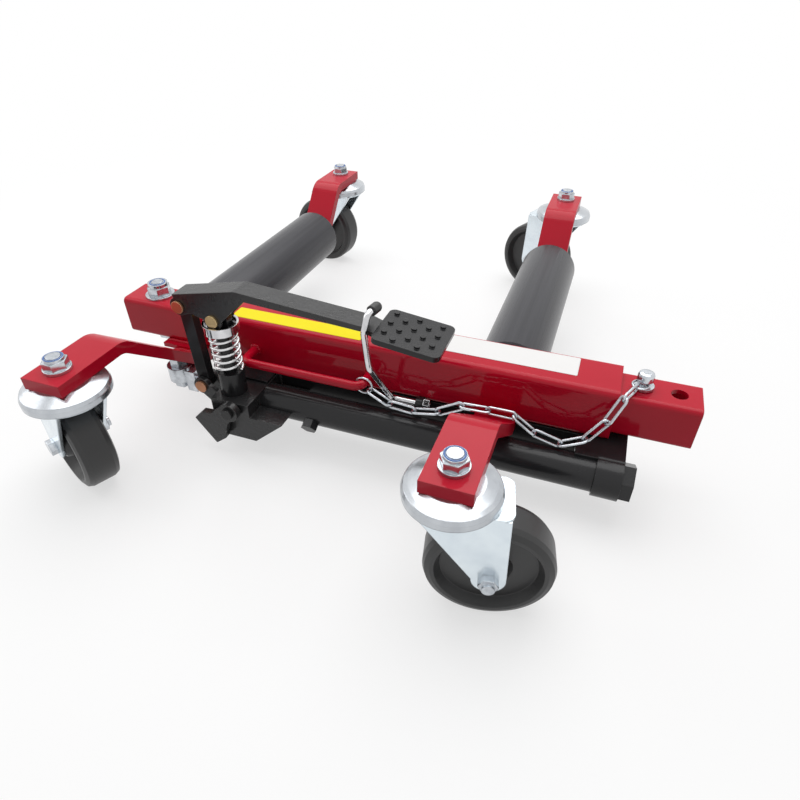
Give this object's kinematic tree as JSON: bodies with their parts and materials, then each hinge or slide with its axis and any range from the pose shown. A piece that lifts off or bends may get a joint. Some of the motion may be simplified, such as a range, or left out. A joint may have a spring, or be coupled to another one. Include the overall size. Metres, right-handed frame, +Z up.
{
  "type": "vehicle positioning jack",
  "caption": "Foot-pumped wheel dolly: a telescopic square beam with roller arms on swivel casters that closes under a tyre, lifts it and rolls the vehicle sideways.",
  "frame": {"origin": "floor point under the middle of the tyre bay, midway between the rollers", "axes": "+X along the telescopic beam toward the lock pin, +Y along the rollers away from the beam, +Z up"},
  "size_m": [0.595, 0.6436, 0.1866],
  "materials": {
    "red_paint": "glossy red powder coat",
    "black_paint": "satin black paint",
    "zinc": "bright bluish zinc plate",
    "chrome": "polished chrome plate",
    "roller_steel": "dark grey steel",
    "wheel_rubber": "matt black rubber",
    "copper_zinc": "copper-coloured plate",
    "yellow_zinc": "yellow zinc plate"
  },
  "bodies": {
    "left_frame": {"inner_tube": "red_paint", "end_block": "black_paint", "tube_bolt": "zinc", "left_front_arm": "red_paint", "left_rear_arm": "red_paint", "left_roller_shaft": "roller_steel", "ram_rod": "zinc", "ram_piston": "chrome", "ram_eye_bolt": "zinc", "left_caster_bolts": "zinc", "left_caster_races": "zinc"},
    "sleeve": {"outer_sleeve": "red_paint", "right_front_arm": "red_paint", "right_rear_arm": "red_paint", "right_roller_shaft": "roller_steel", "ram_cylinder": "black_paint", "cylinder_collar": "black_paint", "cylinder_cap": "black_paint", "cylinder_lug": "black_paint", "oil_plug": "black_paint", "pump_block": "black_paint", "pump_barrel": "black_paint", "pump_bracket": "black_paint", "link_base_pin": "copper_zinc", "return_spring": "roller_steel", "release_stem": "black_paint", "hook_pivot": "black_paint", "carry_handle": "red_paint", "handle_ring": "zinc", "lock_chain": "zinc", "right_caster_bolts": "zinc", "right_caster_races": "zinc"},
    "left_roller": {"left_roller": "roller_steel", "left_roller_bushes": "roller_steel"},
    "right_roller": {"right_roller": "roller_steel", "right_roller_bushes": "roller_steel"},
    "pump_link": {"pump_link": "black_paint", "fulcrum_pin": "copper_zinc"},
    "pump_lever": {"pump_lever": "black_paint", "pedal_pad": "black_paint", "piston_pin": "yellow_zinc"},
    "pump_piston": {"pump_piston": "black_paint", "spring_cap": "chrome"},
    "release_pedal": {"release_pedal": "black_paint"},
    "pedal_hook": {"pedal_hook": "chrome", "hook_tip": "wheel_rubber"},
    "lock_pin": {"lock_pin": "zinc", "pin_ring": "zinc"},
    "left_front_caster": {"left_front_fork": "zinc", "left_front_axle": "zinc"},
    "left_front_wheel": {"left_front_wheel": "wheel_rubber"},
    "right_front_caster": {"right_front_fork": "zinc", "right_front_axle": "zinc"},
    "right_front_wheel": {"right_front_wheel": "wheel_rubber"},
    "left_rear_caster": {"left_rear_fork": "zinc", "left_rear_axle": "zinc"},
    "left_rear_wheel": {"left_rear_wheel": "wheel_rubber"},
    "right_rear_caster": {"right_rear_fork": "zinc", "right_rear_axle": "zinc"},
    "right_rear_wheel": {"right_rear_wheel": "wheel_rubber"}
  },
  "joints": [
    {"name": "sleeve_slide", "type": "slide", "parent": "left_frame", "child": "sleeve", "axis": [1, 0, 0], "range_m": [0, 0.25]},
    {"name": "left_roller_spin", "type": "hinge", "parent": "left_frame", "child": "left_roller", "pos_m": [-0.1705, 0, 0.08], "axis": [0, 1, 0], "continuous": true},
    {"name": "right_roller_spin", "type": "hinge", "parent": "sleeve", "child": "right_roller", "pos_m": [0.1705, 0, 0.08], "axis": [0, 1, 0], "continuous": true},
    {"name": "pump_lever_swing", "type": "hinge", "parent": "pump_link", "child": "pump_lever", "pos_m": [-0.124, -0.2255, 0.155], "axis": [0, 1, 0], "range_deg": [0, 6], "stiffness_Nm_per_rad": 6, "springref_deg": -20.05},
    {"name": "pump_link_swing", "type": "hinge", "parent": "sleeve", "child": "pump_link", "pos_m": [-0.1205, -0.2255, 0.0645], "axis": [0, 1, 0], "range_deg": [0, 2]},
    {"name": "pump_piston_slide", "type": "slide", "parent": "sleeve", "child": "pump_piston", "axis": [0, 0, 1], "range_m": [-0.0045, 0], "deforming": ["return_spring"]},
    {"name": "release_turn", "type": "hinge", "parent": "sleeve", "child": "release_pedal", "pos_m": [-0.079, -0.25, 0.055], "axis": [0, 1, 0], "range_deg": [-20, 20]},
    {"name": "hook_swing", "type": "hinge", "parent": "sleeve", "child": "pedal_hook", "pos_m": [0.1, -0.1895, 0.066], "axis": [1, 0, 0], "range_deg": [0, 50]},
    {"name": "lock_pin_lift", "type": "slide", "parent": "sleeve", "child": "lock_pin", "axis": [0, 0, 1], "range_m": [0, 0.09], "deforming": ["lock_chain"]},
    {"name": "left_front_swivel", "type": "hinge", "parent": "left_frame", "child": "left_front_caster", "pos_m": [-0.1705, -0.34, 0.12], "axis": [0, 0, 1], "continuous": true},
    {"name": "left_front_roll", "type": "hinge", "parent": "left_front_caster", "child": "left_front_wheel", "pos_m": [-0.19919, -0.32723, 0.05], "axis": [-0.4067, -0.9135, 0], "continuous": true},
    {"name": "right_front_swivel", "type": "hinge", "parent": "sleeve", "child": "right_front_caster", "pos_m": [0.1705, -0.34, 0.12], "axis": [0, 0, 1], "continuous": true},
    {"name": "right_front_roll", "type": "hinge", "parent": "right_front_caster", "child": "right_front_wheel", "pos_m": [0.20121, -0.33347, 0.05], "axis": [-0.2079, 0.9781, 0], "continuous": true},
    {"name": "left_rear_swivel", "type": "hinge", "parent": "left_frame", "child": "left_rear_caster", "pos_m": [-0.1705, 0.224, 0.12], "axis": [0, 0, 1], "continuous": true},
    {"name": "left_rear_roll", "type": "hinge", "parent": "left_rear_caster", "child": "left_rear_wheel", "pos_m": [-0.20159, 0.22837, 0.05], "axis": [-0.1392, -0.9903, 0], "continuous": true},
    {"name": "right_rear_swivel", "type": "hinge", "parent": "sleeve", "child": "right_rear_caster", "pos_m": [0.1705, 0.224, 0.12], "axis": [0, 0, 1], "continuous": true},
    {"name": "right_rear_roll", "type": "hinge", "parent": "right_rear_caster", "child": "right_rear_wheel", "pos_m": [0.14139, 0.23576, 0.05], "axis": [-0.3746, -0.9272, 0], "continuous": true}
  ],
  "couplings": [
    {"joint": "pump_link_swing", "follows": "pump_lever_swing", "ratio": 0.15},
    {"joint": "pump_piston_slide", "follows": "pump_lever_swing", "m_per_rad": -0.0385}
  ]
}
